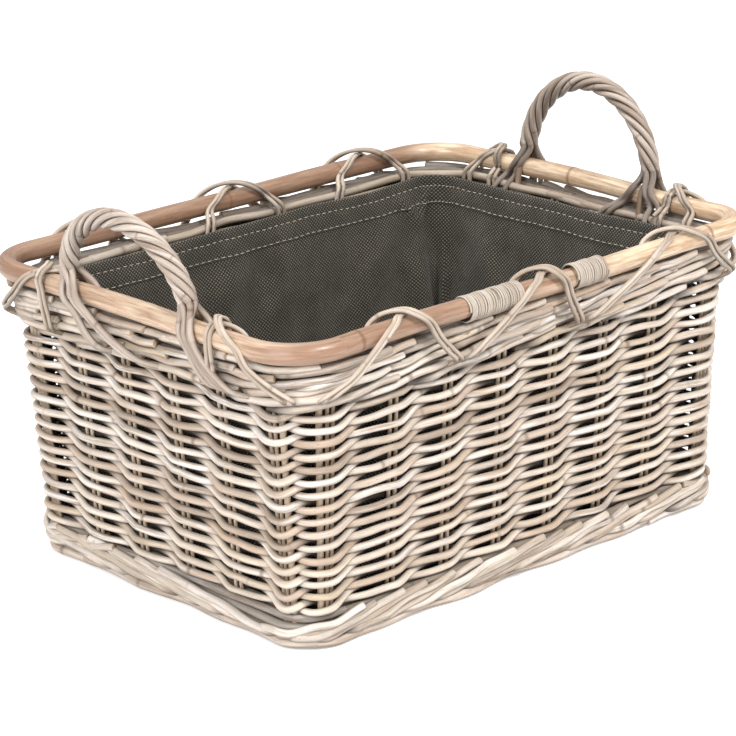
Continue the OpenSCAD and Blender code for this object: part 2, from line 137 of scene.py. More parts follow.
def curve(points, step=0.004):
    """A smooth line through the points, with a point about every step."""
    p = np.array([np.ravel(q) for q in points], float)
    h = np.maximum(np.linalg.norm(np.diff(p, axis=0), axis=1), 1e-6)
    d = np.diff(p, axis=0) / h[:, None]
    m = np.vstack([d[:1], (d[:-1] * h[1:, None] + d[1:] * h[:-1, None])
                   / (h[1:] + h[:-1])[:, None], d[-1:]])
    fine = []
    for i, length in enumerate(h):
        t = np.linspace(0, 1, 17)[:, None]
        fine.append((2 * t**3 - 3 * t**2 + 1) * p[i] + (t**3 - 2 * t**2 + t) * length * m[i]
                    + (3 * t**2 - 2 * t**3) * p[i + 1] + (t**3 - t**2) * length * m[i + 1])
    fine = np.vstack([f[:-1] for f in fine] + [p[-1:]])
    s = np.concatenate([[0], np.cumsum(np.linalg.norm(np.diff(fine, axis=0), axis=1))])
    at = np.linspace(0, s[-1], max(4, int(s[-1] / step) + 2))
    return np.stack([np.interp(at, s, fine[:, k]) for k in range(3)], -1)


# ---- rods as meshes ----

class Rods:
    """Round rods gathered into one mesh, with the attributes that their material reads: tint
    and wash for a rod's own colour, knot near its nodes, deep for painted shade where it runs inside
    the weave or lies against its neighbours, cut on its ends, and grain, a place that its fibres follow."""

    def __init__(self, sides=8):
        self.sides, self.count = sides, 0
        self.parts = {k: [] for k in ("co", "tint", "wash", "knot", "deep", "cut", "grain")}
        self.quads, self.tris = [], []

    def add(self, path, radius, up=(0, 0, 1), deep=0.0, flat=1.0, nodes=None, tint=None,
            wash=None, closed=False, slant=0.0, swell=0.05, groove=0.0):
        """A rod along the path. up is the side that shows, flat its thickness that way as a share
        of its width, and nodes are the places of its swellings, or are chosen when None."""
        p = np.asarray(path, float)
        n, m = len(p), self.sides
        if closed:
            t = np.roll(p, -1, 0) - np.roll(p, 1, 0)
        else:
            t = np.gradient(p, axis=0)
        t /= np.linalg.norm(t, axis=1)[:, None]
        up = np.broadcast_to(np.asarray(up, float), (n, 3))
        a = up - (up * t).sum(1)[:, None] * t
        a /= np.linalg.norm(a, axis=1)[:, None]
        b = np.cross(t, a)
        step = np.linalg.norm(np.diff(p, axis=0), axis=1)
        s = np.concatenate([[0], np.cumsum(step)])
        r = np.broadcast_to(np.asarray(radius, float), (n,)).copy()
        deep = np.broadcast_to(np.asarray(deep, float), (n,)).copy()
        tint = np.broadcast_to(rng.random() if tint is None else tint, (n,)).copy()
        wash = np.broadcast_to(rng.random() if wash is None else wash, (n,)).copy()
        if nodes is None:
            nodes = np.arange(rng.uniform(0.01, 0.13), s[-1], rng.uniform(0.10, 0.17))
        knot = np.zeros(n)
        ring_wide, swell_wide = 0.0013, 0.005
        for at in np.atleast_1d(nodes):
            knot = np.maximum(knot, np.exp(-(((s - at) / ring_wide) ** 2)))
            r *= 1 + swell * np.exp(-(((s - at) / swell_wide) ** 2))
        if not closed:       # two shrinking rows and a point close each end
            r0, r1 = r[0], r[-1]
            p = np.vstack([p[0] - t[0] * r0 * 0.24, p[0] - t[0] * r0 * 0.12, p,
                           p[-1] + t[-1] * r1 * 0.12, p[-1] + t[-1] * r1 * 0.24])
            r = np.concatenate([[0.72 * r0, 0.93 * r0], r, [0.93 * r1, 0.72 * r1]])
            pad = lambda x: np.concatenate([x[:1], x[:1], x, x[-1:], x[-1:]])
            t, a, b, s, knot, deep, tint, wash = map(pad, (t, a, b, s, knot, deep, tint, wash))
        rows = len(p)
        turn = TAU * np.arange(m) / m
        c, q = np.cos(turn), np.sin(turn)
        co = (p[:, None] + (r[:, None] * c * flat)[..., None] * a[:, None]
              + (r[:, None] * q)[..., None] * b[:, None])
        if slant and not closed:         # ends cut at a slant
            for rows_at, sign in (((0, 1, 2), -1), ((-1, -2, -3), 1)):
                lean = rng.uniform(-1, 1) * slant
                side = rng.uniform(0, TAU)
                for row in rows_at:
                    co[row] += (sign * lean * r[row] * np.cos(turn - side))[:, None] * t[row]
        shift = rng.uniform(0, 40)
        grain = np.stack([r[:, None] * c, r[:, None] * q,
                          np.broadcast_to(s[:, None] + shift, (rows, m))], -1)
        cut = np.zeros((rows, m))
        if not closed:
            cut[0] = cut[-1] = 1
        wide = lambda x: np.repeat(x, m)
        # groove is painted shade on the flanks, away from up, where a rod lies against its neighbours;
        # deep adds painted shade along the rod
        flanks = np.maximum(deep[:, None], groove * smooth(0.35 - c, 0, 0.7)[None])
        values = {"co": co.reshape(-1, 3), "knot": wide(knot), "deep": flanks.ravel(),
                  "tint": wide(tint), "wash": wide(wash), "cut": cut.ravel(),
                  "grain": grain.reshape(-1, 3)}
        i = np.arange(rows if closed else rows - 1)[:, None] * m
        j = np.arange(m)[None]
        k = (j + 1) % m
        nxt = (i + m) % (rows * m)
        quads = np.stack([i + j, i + k, nxt + k, nxt + j], -1).reshape(-1, 4) + self.count
        self.quads.append(quads)
        total = rows * m
        if not closed:
            tips = np.array([co[0].mean(0) - t[0] * r[0] * 0.05,
                             co[-1].mean(0) + t[-1] * r[-1] * 0.05])
            values["co"] = np.vstack([values["co"], tips])
            for key, x in (("knot", 0 * tint), ("deep", deep), ("cut", 0 * tint + 1),
                           ("tint", tint), ("wash", wash)):
                values[key] = np.concatenate([values[key], [x[0], x[-1]]])
            centres = [[0, 0, s[0] + shift], [0, 0, s[-1] + shift]]
            values["grain"] = np.vstack([values["grain"], centres])
            first, last = self.count + total, self.count + total + 1
            j = np.arange(m)
            k = (j + 1) % m
            top = self.count + (rows - 1) * m
            self.tris.append(np.stack([self.count + k, self.count + j, np.full(m, first)], -1))
            self.tris.append(np.stack([top + j, top + k, np.full(m, last)], -1))
            total += 2
        for key, x in values.items():
            self.parts[key].append(x)
        self.count += total

    def build(self, name, material, slot, *nodes):
        whole = {k: np.concatenate(v) for k, v in self.parts.items()}
        faces = np.concatenate(self.quads).tolist()
        if self.tris:
            faces += np.concatenate(self.tris).tolist()
        return piece(name, whole.pop("co"), faces, material, nodes, whole)


def piece(name, co, faces, material, nodes=(), attributes=None):
    """A smooth mesh that rides on the basket and stands for the named CAD nodes."""
    mesh = bpy.data.meshes.new(name)
    faces = faces if isinstance(faces, list) else faces.tolist()
    mesh.from_pydata(np.asarray(co).tolist(), [], faces)
    for key, x in (attributes or {}).items():
        wide = np.ndim(x) == 2
        layer = mesh.attributes.new(key, "FLOAT_VECTOR" if wide else "FLOAT", "POINT")
        layer.data.foreach_set("vector" if wide else "value", np.asarray(x, np.float32).ravel())
    mesh.shade_smooth()
    mesh.update()
    obj = bpy.data.objects.new(name, mesh)
    bpy.context.scene.collection.objects.link(obj)
    obj.data.materials.append(material)
    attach(obj, "root")
    if nodes:
        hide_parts(*nodes)
    return obj


# ---- materials ----

class Graph:
    """A material's node tree, with short calls for the nodes used here."""

    def __init__(self, name):
        self.material = bpy.data.materials.new(name)
        self.material.use_nodes = True
        self.tree = self.material.node_tree
        self.tree.nodes.clear()
        out = self.node("ShaderNodeOutputMaterial")
        self.shader = self.node("ShaderNodeBsdfPrincipled")
        self.tree.links.new(self.shader.outputs[0], out.inputs[0])

    def node(self, kind, inputs=None, **settings):
        n = self.tree.nodes.new(kind)
        for key, value in settings.items():
            setattr(n, key, value)
        for key, value in (inputs or {}).items():
            self.put(n.inputs[key], value)
        return n

    def put(self, socket, value):
        if isinstance(value, bpy.types.NodeSocket):
            self.tree.links.new(value, socket)
        else:
            socket.default_value = value

    def finish(self, **inputs):
        for key, value in inputs.items():
            self.put(self.shader.inputs[key.replace("_", " ")], value)
        return self.material

    def value(self, name):
        return self.node("ShaderNodeAttribute", attribute_name=name).outputs["Fac"]

    def vector(self, name):
        return self.node("ShaderNodeAttribute", attribute_name=name).outputs["Vector"]

    def scaled(self, vector, scale):
        return self.node("ShaderNodeVectorMath", {0: vector, 1: scale}, operation="MULTIPLY").outputs[0]

    def noise(self, vector, scale=(1, 1, 1), detail=2.0, rough=0.5):
        n = self.node("ShaderNodeTexNoise", {"Vector": self.scaled(vector, scale), "Scale": 1.0,
                                             "Detail": detail, "Roughness": rough})
        return n.outputs["Fac"]

    def math(self, operation, a, b=0.0, c=None, clamp=False):
        inputs = {0: a, 1: b} if c is None else {0: a, 1: b, 2: c}
        return self.node("ShaderNodeMath", inputs, operation=operation, use_clamp=clamp).outputs[0]

    def span(self, x, low, high, to_low=0.0, to_high=1.0):
        """x from low..high to to_low..to_high, held at both ends."""
        n = self.node("ShaderNodeMapRange", {"Value": x, "From Min": low, "From Max": high,
                                             "To Min": to_low, "To Max": to_high})
        return n.outputs["Result"]

    def mix(self, share, a, b):
        n = self.node("ShaderNodeMix", data_type="RGBA", blend_type="MIX")
        for socket, value in ((n.inputs[0], share), (n.inputs[6], a), (n.inputs[7], b)):
            self.put(socket, (*value, 1.0) if isinstance(value, tuple) else value)
        return n.outputs[2]

    def ramp(self, x, stops):
        n = self.node("ShaderNodeValToRGB", {"Fac": x})
        while len(n.color_ramp.elements) < len(stops):
            n.color_ramp.elements.new(0.5)
        for element, (at, colour) in zip(n.color_ramp.elements, stops):
            element.position, element.color = at, (*colour, 1.0)
        return n.outputs["Color"]

    def bump(self, height, distance, strength=1.0):
        return self.node("ShaderNodeBump", {"Height": height, "Distance": distance,
                                            "Strength": strength}).outputs[0]


def rgb(r, g, b):
    """A colour as seen, 0 to 255, as the linear numbers that the shader takes."""
    return tuple(((x / 255 + 0.055) / 1.055) ** 2.4 if x > 10 else x / 255 / 12.92 for x in (r, g, b))


def rattan(name, tones, wash, wash_most=0.75, rough=(0.42, 0.68), blotch=0.5, speck=0.6,
           along=None, coat=0.0, bump=0.00022, fibre=0.30, knot=(92, 68, 50), under=0.45):
    """Peeled or whitewashed rattan. along is the axis of the grain on a CAD node, whose mesh has
    no attributes; a rod's own mesh carries its grain with it. under is how much painted shade darkens its
    underside."""
    g = Graph(name)
    if along is None:
        where, tint, washed = g.vector("grain"), g.value("tint"), g.value("wash")
        near, deep, cut = g.value("knot"), g.value("deep"), g.value("cut")
    else:
        place = g.node("ShaderNodeNewGeometry").outputs["Position"]
        split = g.node("ShaderNodeSeparateXYZ", {0: place})
        order = {"y": (0, 2, 1), "z": (0, 1, 2)}[along]
        joined = g.node("ShaderNodeCombineXYZ", {i: split.outputs[k] for i, k in enumerate(order)})
        where = joined.outputs[0]
        tint = g.noise(where, (34, 34, 6), 1)
        washed = g.noise(where, (21, 25, 9), 1)
        near = deep = cut = None
    streak = g.noise(where, (2300, 2300, 38), 2, 0.6)
    thread = g.noise(where, (5200, 5200, 130), 1, 0.5)
    patch = g.noise(where, (170, 170, 26), 3, 0.6)
    dots = g.noise(where, (1150, 1150, 620), 1, 0.4)
    colour = g.ramp(tint, [(i / (len(tones) - 1), rgb(*c)) for i, c in enumerate(tones)])
    colour = g.mix(g.math("MULTIPLY", g.span(patch, 0.42, 0.66), blotch), colour,
                   g.mix(0.55, colour, rgb(*knot)))
    chalk = g.math("MULTIPLY", g.span(g.noise(where, (260, 260, 17), 3, 0.7), 0.40, 0.62),
                   g.span(washed, 0.15, 0.9, 0.15, wash_most))
    colour = g.mix(chalk, colour, rgb(*wash))
    colour = g.mix(g.span(streak, 0.45, 0.75, 0.0, fibre), colour, g.mix(0.6, colour, rgb(*knot)))
    colour = g.mix(g.span(dots, 0.70, 0.76, 0.0, speck), colour, rgb(74, 54, 40))
    if near is not None:
        colour = g.mix(g.span(near, 0.25, 1.0, 0.0, 0.7), colour, rgb(*knot))
        colour = g.mix(g.math("MULTIPLY", cut, 0.75), colour, rgb(176, 146, 112))
        # Painted shade: darker on a rod's underside, by its normal, and where deep marks it running
        # inside the weave or against its neighbours
        facing = g.node("ShaderNodeSeparateXYZ",
                        {0: g.node("ShaderNodeNewGeometry").outputs["Normal"]}).outputs["Z"]
        colour = g.mix(g.span(facing, -0.95, -0.05, under, 0.0), colour, rgb(52, 38, 28))
        colour = g.mix(g.math("MULTIPLY", deep, 0.93), colour, rgb(35, 24, 16))
    height = g.math("ADD", g.math("MULTIPLY", streak, 0.7), g.math("MULTIPLY", thread, 0.3))
    height = g.math("ADD", height, g.math("MULTIPLY", patch, 0.6))
    return g.finish(Base_Color=colour, Roughness=g.span(g.math("ADD", patch, streak), 0.7, 1.3, *rough),
                    Specular_IOR_Level=0.42, Coat_Weight=coat, Coat_Roughness=0.22,
                    Normal=g.bump(height, bump))


def liner_fabric():
    """Coarse basket-weave polyester: dark ground with pale thread dots, soiled in patches."""
    g = Graph("liner_fabric")
    cloth = g.vector("cloth")
    pitch = 0.0019
    split = g.node("ShaderNodeSeparateXYZ", {0: g.scaled(cloth, (math.pi / pitch,) * 3)})
    warp = g.noise(cloth, (700, 90, 1), 2)
    a = g.math("SINE", g.math("ADD", split.outputs[0], g.span(warp, 0.3, 0.7, -0.25, 0.25)))
    b = g.math("SINE", split.outputs[1])
    dots = g.math("MULTIPLY", a, b)
    lit = g.span(dots, 0.05, 0.65)
    threads = g.noise(cloth, (1500, 1500, 1), 2, 0.7)
    lit = g.math("MULTIPLY", lit, g.span(threads, 0.35, 0.62, 0.45, 1.0))
    shade = g.noise(cloth, (26, 26, 1), 3, 0.6)
    ground = g.mix(g.span(shade, 0.35, 0.65), rgb(38, 35, 30), rgb(52, 48, 41))
    dot = g.mix(g.span(shade, 0.35, 0.65), rgb(122, 115, 102), rgb(150, 142, 126))
    colour = g.mix(lit, ground, dot)
    height = g.math("ADD", dots, g.math("MULTIPLY", threads, 0.5))
    return g.finish(Base_Color=colour, Roughness=0.82, Specular_IOR_Level=0.25,
                    Sheen_Weight=0.15, Sheen_Roughness=0.5, Normal=g.bump(height, 0.0005))


def thread():
    g = Graph("liner_thread")
    cloth = g.vector("cloth")
    twist = g.noise(cloth, (3000, 900, 1), 1)
    return g.finish(Base_Color=g.mix(g.span(twist, 0.4, 0.6), rgb(178, 170, 150), rgb(212, 205, 188)),
                    Roughness=0.75, Normal=g.bump(twist, 0.0002))


# under sets how much painted shade each material gets on rod undersides
WOVEN = rattan("woven_rods", [(158, 138, 120), (202, 184, 166), (188, 164, 142), (218, 205, 192),
                              (206, 186, 160), (178, 164, 150)], (238, 232, 226), 0.9, under=0.65)
STAKE = rattan("upright_rods", [(178, 154, 128), (206, 184, 158), (190, 166, 140), (212, 194, 172)],
               (222, 212, 198), 0.5, along="z")
FLOOR_X = rattan("floor_rods", [(168, 144, 118), (196, 172, 146), (182, 156, 128), (204, 186, 162)],
                 (222, 212, 198), 0.5)
RIB = rattan("floor_rib_rods", [(168, 144, 118), (196, 172, 146)], (222, 212, 198), 0.4, along="y")
POLE = rattan("rim_pole", [(140, 104, 82), (174, 142, 118), (208, 174, 138)], (240, 220, 192), 0.85,
              rough=(0.26, 0.46), blotch=0.6, speck=0.5, coat=0.25, bump=0.00012, fibre=0.35,
              knot=(104, 68, 46), under=0.2)
ROPE = rattan("rope_rods", [(142, 124, 110), (178, 162, 148), (158, 140, 126), (196, 182, 168)],
              (214, 204, 194), 0.7, rough=(0.34, 0.6), fibre=0.4, under=0.7)
CANE = rattan("lashing_cane", [(150, 132, 116), (188, 170, 152), (168, 150, 132), (202, 188, 172)],
              (218, 208, 196), 0.6, rough=(0.34, 0.58), fibre=0.4, under=0.6)
WHIP = rattan("whipping_cane", [(168, 154, 140), (192, 180, 166), (158, 142, 126)],
              (222, 214, 204), 0.6, rough=(0.36, 0.6), fibre=0.3)
CORE = rattan("rope_core", [(120, 98, 80), (140, 118, 98)], (160, 146, 130), 0.3, along="z")
FABRIC = liner_fabric()
THREAD = thread()


# ---- twined wall ----

COURSES = 16
COURSE_PITCH = 0.012
WEAVER_R = 0.0034


def all_round(sides, corners):
    """Names of the CAD nodes that go round the basket: four straights and four corners."""
    names = [sides + name for name in ("front", "back", "left", "right")]
    return names + [corners + name for name in ("front_left", "front_right", "back_left", "back_right")]


def twist_at(u):
    """Turn of a pair of strands at u, in half turns from the first group: plain, and as it swings
    in and out there; how far it swings, and its sense: the strand in front rises to the right on
    the long sides and corners, and to the left on the ends."""
    around = np.mod(u, AROUND)
    lap = (u - around) / AROUND * COUNT
    g = np.concatenate([[GROUPS[-1] - AROUND], GROUPS, [GROUPS[0] + AROUND]])
    thick = np.concatenate([THICK[-1:], THICK, THICK[:1]])
    i = np.clip(np.searchsorted(g, around, side="right") - 1, 0, COUNT)
    t = (around - g[i]) / (g[i + 1] - g[i])
    leg = heading((g[i] + g[i + 1]) / 2)[0]
    sense = np.where(leg % 4 == 2, -1.0, 1.0)
    early = t + sense * 0.11 * np.sin(math.pi * t)  # the crossing comes soon after a group
    ease = np.where(thick[i] + thick[i + 1] > 0, 0.5, 0.08)
    half_turns = i - 1 + early - ease * np.sin(TAU * early) / TAU + lap
    swing = 0.0054 + 0.0013 * (thick[i] + (thick[i + 1] - thick[i]) * smooth(t))
    return i - 1 + t + lap, half_turns, swing, sense


def rise_at(plain, strand, sense):
    """Height of a strand between the low and high line of its course, -1 to 1: low as it passes
    in front of a group, then climbing to its crossing with the other strand."""
    s = sense * (np.mod(plain + strand + 1, 2) - 1)
    s = np.where(s < -0.65, s + 2, s)
    return -1 + 2 * smooth(s, 0.02, 0.48) - 2 * smooth(s, 0.62, 1.35)


def twined_wall():
    """Two strands to a course, each of three rods that start behind an upright."""
    rods = Rods(8)
    bottom = wall_low[2] + 0.0062
    for row in range(COURSES):
        for strand in (0, 1):
            starts = np.sort(rng.choice(COUNT // 2, 3, replace=False)) * 2 + 1 - strand
            cuts = np.sort(GROUPS[starts % COUNT])
            for a, b in zip(cuts, np.append(cuts[1:], cuts[0] + AROUND)):
                u = np.arange(a - 0.016, b + 0.014, 0.0046)
                plain, half_turns, swing, sense = twist_at(u)
                turn = math.pi * (half_turns + strand)
                thin = rng.uniform(0.93, 1.07)
                z = (bottom + COURSE_PITCH * row + 0.0031 * rise_at(plain, strand, sense)
                     + 0.0007 * wobble(u, 400 + row // 3) + 0.0005 * wobble(u, 500 + row, 6, 20)
                     + 0.0004 * wobble(u, 900 + row * 2 + strand, 10, 40))
                out = (swing * (np.cos(turn) + 0.09 * np.cos(3 * turn)) / 1.09
                       - 0.0012 * smooth(u, b + 0.004, b + 0.014)
                       + 0.0004 * wobble(u, 1300 + row * 2 + strand, 10, 40))
                taper = 1 + 0.04 * wobble(u, 1700 + row * 2 + strand, 4, 12)
                # deep paints shade on the strand where it runs inside the weave; groove paints shade on
                # its flanks
                rods.add(ring(u, out, z), WEAVER_R * thin * taper, up=outward(u),
                         deep=smooth(-np.cos(turn), -0.25, 0.9), groove=0.35)
    rods.build("twined_wall", WOVEN, "woven_rods", *all_round("wall_", "wall_corner_"))


# ---- borders ----

def laid_rod(rods, start, length, z0, z1, out0, out1, r, hide, lift, way=1, bow=0.0):
    """A border rod: it comes out from behind its neighbours and lies up the wall to a cut end."""
    t = np.linspace(0, 1, max(10, int(length / 0.0055)))
    u = start + way * length * t
    z = z0 + (z1 - z0) * t + bow * np.sin(math.pi * t)
    out = out0 + (out1 - out0) * smooth(t, 0, hide) + lift * smooth(t, 0.4, 1)
    jitter = rng.integers(1, 10**6)
    z = z + 0.0007 * wobble(u, jitter, 12, 40)
    out = out + 0.0006 * wobble(u, jitter + 1, 12, 40)
    soiled = rng.uniform(0.0, 0.22)
    # deep: some random soiling of each rod, plus painted shade where it comes out from behind its
    # neighbours; groove is painted shade on its flanks
    rods.add(ring(u, out, z), r * (1 - 0.10 * t), up=outward(u), slant=0.4, groove=0.7,
             deep=soiled + 0.75 * (1 - smooth(t, 0.3 * hide, 1.1 * hide)))


def top_border():
    """Four rows of rods that rise to the right, over long rods on either face of the uprights."""
    rods = Rods(10)
    low, high = ends("top_border_front")
    z_low, z_high = low[2] + 0.0062, high[2] - 0.0045
    rows = 4
    for row in range(rows):
        share = row / (rows - 1)
        for group in GROUPS:
            leg = heading(group)[0]
            slope = 0.058 if leg % 4 == 2 else 0.105
            length = rng.uniform(0.098, 0.138)
            start = group - 0.062 + row * 0.0165 + rng.uniform(-0.012, 0.012)
            middle = z_low + (z_high - z_low) * share + rng.uniform(-0.0011, 0.0011)
            rise = slope * length * rng.uniform(0.8, 1.15)
            z0, z1 = middle - 0.55 * rise, middle + 0.45 * rise
            z1 = min(z1, high[2] - 0.002)
            laid_rod(rods, start, length, z0, z1, 0.002 + 0.002 * share, 0.0085 + 0.0035 * share,
                     rng.uniform(0.0036, 0.0043), hide=0.22, lift=rng.uniform(0.0002, 0.0044))
    for z, out in ((z_low + 0.002, -0.0045), (z_low + 0.0125, -0.0045), (z_low + 0.0225, -0.0045),
                   (z_high - 0.0006, -0.0040), (z_low + 0.006, 0.0040), (z_low + 0.017, 0.0045),
                   (z_low + 0.028, 0.0060), (z_high, 0.0030), (z_high - 0.0003, 0.0105)):
        for part in range(3):
            a = AROUND * part / 3 + rng.uniform(0, 0.1)
            u = np.arange(a, a + AROUND / 3 + 0.05, 0.006)
            seed = rng.integers(1, 10**6)
            path = ring(u, out + 0.0007 * wobble(u, seed, 8, 30), z + 0.0009 * wobble(u, seed + 1, 5, 20))
            # painted shade on the long rods, stronger on those outside the uprights, under the laid rods
            rods.add(path, rng.uniform(0.0036, 0.0041), up=outward(u), deep=0.35 if out < 0 else 0.75)
    rods.build("top_border_rods", WOVEN, "woven_rods", *all_round("top_border_", "top_corner_"))


def foot_border():
    """Rods that come out low, lie up the wall and tuck in under the first course, over long rods
    along the very bottom and behind them."""
    rods = Rods(10)
    high = ends("foot_border_front")[1][2]
    for group in GROUPS:
        leg = heading(group)[0]
        way = -1 if leg % 4 == 2 else 1
        for lap in (0, 1):
            length = rng.uniform(0.150, 0.180) if leg % 4 == 2 else rng.uniform(0.128, 0.155)
            start = group - way * (0.030 + 0.033 * lap) + rng.uniform(-0.007, 0.007)
            laid_rod(rods, start, length, 0.0088, high - 0.0046 + rng.uniform(-0.0012, 0.0012),
                     0.001, 0.0070 + 0.0012 * lap, rng.uniform(0.0038, 0.0045), hide=0.14,
                     lift=rng.uniform(-0.0016, 0.0016), way=way, bow=-0.001)
    for z, out, r in ((0.0049, 0.0042, 0.0048), (0.0052, -0.0045, 0.0045), (0.014, -0.005, 0.0042),
                      (0.023, -0.005, 0.0040), (0.0315, -0.005, 0.0038), (0.0125, 0.0030, 0.0042),
                      (0.0205, 0.0025, 0.0040), (0.0285, 0.0020, 0.0038)):
        for part in range(5):
            a = AROUND * part / 5 + rng.uniform(0, 0.06)
            u = np.arange(a, a + AROUND / 5 + 0.03, 0.006)
            seed = rng.integers(1, 10**6)
            lift = np.abs(0.0005 * wobble(u, seed + 1, 5, 20))
            # painted shade on all but the lowest long rods
            rods.add(ring(u, out + 0.0012 * wobble(u, seed, 8, 24), z + lift),
                     r * rng.uniform(0.94, 1.0), up=outward(u), deep=0.0 if z < 0.005 else 0.6)
    rods.build("foot_border_rods", WOVEN, "woven_rods", *all_round("foot_border_", "foot_corner_"))


# ---- floor ----

def woven_floor():
    """Rods across the basket that pass over and under the ribs in turn."""
    rods = Rods(6)
    low, high = ends("floor_weave")
    ribs = 9
    rib_gap = (high[0] - low[0]) / ribs
    r, swing = 0.0026, 0.0032
    middle = (low[2] + high[2]) / 2
    corner = high[1] - CY
    rows = int((high[1] - low[1]) / 0.0054)
    for i in range(rows):
        y = low[1] + r + (high[1] - low[1] - 2 * r) * i / (rows - 1)
        over = max(0.0, abs(y) - (high[1] - corner))
        half = high[0] - corner + math.sqrt(max(corner**2 - over**2, 0)) - r
        x = np.arange(-half, half, 0.0065)
        turn = math.pi * (x / rib_gap + i + 0.5 * (ribs - 1))
        z = middle + swing * np.cos(turn)
        path = np.stack([x, y + 0 * x + 0.0004 * np.sin(x * 37 + i * 2.3), z], -1)
        rods.add(path, r * rng.uniform(0.93, 1.05), up=(0, 0, 1), nodes=[], flat=0.96)
    rods.build("floor_weave_rods", FLOOR_X, "woven_rods", "floor_weave")


# ---- pole and its whipping ----

def pole():
    rods = Rods(24)
    step = 0.004
    u = np.arange(0, AROUND, step)
    path = ring(u, 0.0, POLE_Z, 1.0)
    length = np.linalg.norm(np.diff(path, axis=0), axis=1)
    s = np.concatenate([[0], np.cumsum(length)])
    knots, knot_gap = [], 0.145
    for x, y in [(-1.5 * knot_gap, -RIM_Y), (1.5 * knot_gap, -RIM_Y), (-knot_gap, RIM_Y), (0, RIM_Y),
                 (knot_gap, RIM_Y), (RIM_X, 0.022), (-RIM_X, -0.022)]:
        knots.append(s[np.argmin(np.hypot(path[:, 0] - x, path[:, 1] - y))])
    radius = POLE_R * (1 + 0.012 * wobble(u, 77, 3, 14))
    wave = 0.0008
    path = ring(u, wave * wobble(u, 78, 3, 9), POLE_Z + wave * wobble(u, 79, 3, 9), 1.0)
    # Paler where the peeled cane shows, towards the right of the front; browner at the back
    pale = 0.10 + 0.75 * smooth(u, 0.16, 0.40) * (1 - smooth(u, BACK - 0.06, BACK + 0.02))
    pale = pale + 0.45 * smooth(u, LEFT, LEFT + 0.08) * (1 - smooth(u, AROUND - 0.12, AROUND - 0.02))
    rods.add(path, radius, up=(0, 0, 1), nodes=knots, closed=True, tint=pale, wash=pale, swell=0.035)
    rods.build("rim_pole_rattan", POLE, "rim_pole", "rim_pole")


def whippings():
    rods = Rods(6)
    r = 0.00120
    for name in ("splice_whipping_left", "splice_whipping_right"):
        low, high = ends(name)
        turns = int((high[0] - low[0]) / (2 * r * 1.10))
        t = np.linspace(0, turns, turns * 26)
        x = low[0] + r + (high[0] - low[0] - 2 * r) * t / turns + 0.0003 * np.sin(t * 1.7)
        reach = POLE_R + r + 0.0004 + 0.00025 * np.sin(t * 0.9 + 1)
        path = np.stack([x, -RIM_Y - reach * np.cos(TAU * t), POLE_Z + reach * np.sin(TAU * t)], -1)
        away = path - np.stack([x, 0 * x - RIM_Y, 0 * x + POLE_Z], -1)
        for a, b in ((0, len(t) // 2 + 8), (len(t) // 2, len(t))):
            # groove paints shade on the flanks where the coils lie against each other
            rods.add(path[a:b], r, up=away[a:b], nodes=[], flat=0.9, groove=0.8)
    rods.build("whipping_coils", WHIP, "whipping_cane", "splice_whipping_left", "splice_whipping_right")


# ---- lashings ----

CANE_R = 0.0022
FACE_OUT = 0.0218                   # face of the top border, to a cane's centre
FACE_IN = -0.0106
# How far along a leg of a pair has come, as shares of its foot's reach: outer leg and inner leg at
# ROUND, outer face and inner face down to the foot. The pair on top, then the pair beneath
ROUND = (0, 22, 50, 80, 98, 122, 150, 184)
UPPER = ((0.45, 0.36, 0.20, 0.06), (0.12, 0.38, 0.62, 0.85), (0.58, 0.80), (1.0, 1.05, 1.1))
LOWER = ((0.33, 0.26, 0.14, 0.05), (0.10, 0.30, 0.50, 0.72), (0.52, 0.75), (0.92, 1.0, 1.08))


def beside(u, out, z, blend):
    """A point off the line of the uprights, its station read partly along the pole."""
    return ring(u, out - blend * (RIM_Y - CY - R0 - LEAN * z), z, blend)


def lash(rods, out, top, back, over, shares):
    """Two canes side by side, from the border's outer face slantwise over the pole and down
    behind the liner. over is how far they stand off the pole to pass across the pair beneath."""
    tint = rng.random()
    roll = POLE_R + CANE_R + 0.0003
    outer, inner, face, behind_face = shares
    for side in (-1, 1):
        gap = side * 0.0026
        wide = side * rng.uniform(0.0030, 0.0044)
        apart = side * rng.uniform(0.0030, 0.0044)
        down, behind = out - top, back - top
        points = [ring(out + wide, FACE_OUT - 0.013, 0.2325),
                  ring(out + wide, FACE_OUT - 0.001, 0.2395),
                  beside(top + face[1] * down + wide, FACE_OUT + 0.0008, 0.2530, 0.4),
                  beside(top + face[0] * down + 0.8 * wide, FACE_OUT + 0.0020, 0.2680, 0.75)]
        stations = [top + x * down for x in outer] + [top + x * behind for x in inner]
        for degrees, u in zip(ROUND, stations):
            a = math.radians(degrees)
            reach = roll + over * max(math.sin(a), 0) ** 0.8
            points.append(ring(u + gap, reach * math.cos(a), POLE_Z + reach * math.sin(a), 1.0))
        for x, z, blend in zip(behind_face, (0.2690, 0.2560, 0.2430), (0.75, 0.4, 0.0)):
            points.append(beside(top + x * behind + apart, FACE_IN, z, blend))
        path = curve(points, 0.0036)
        # groove paints shade on the flanks where the canes lie side by side
        rods.add(path, CANE_R * rng.uniform(0.94, 1.08), up=path * (1, 1, 0) + (0, 0, 0.4), flat=0.94,
                 tint=tint * 0.7 + 0.3 * rng.random(), groove=0.45)


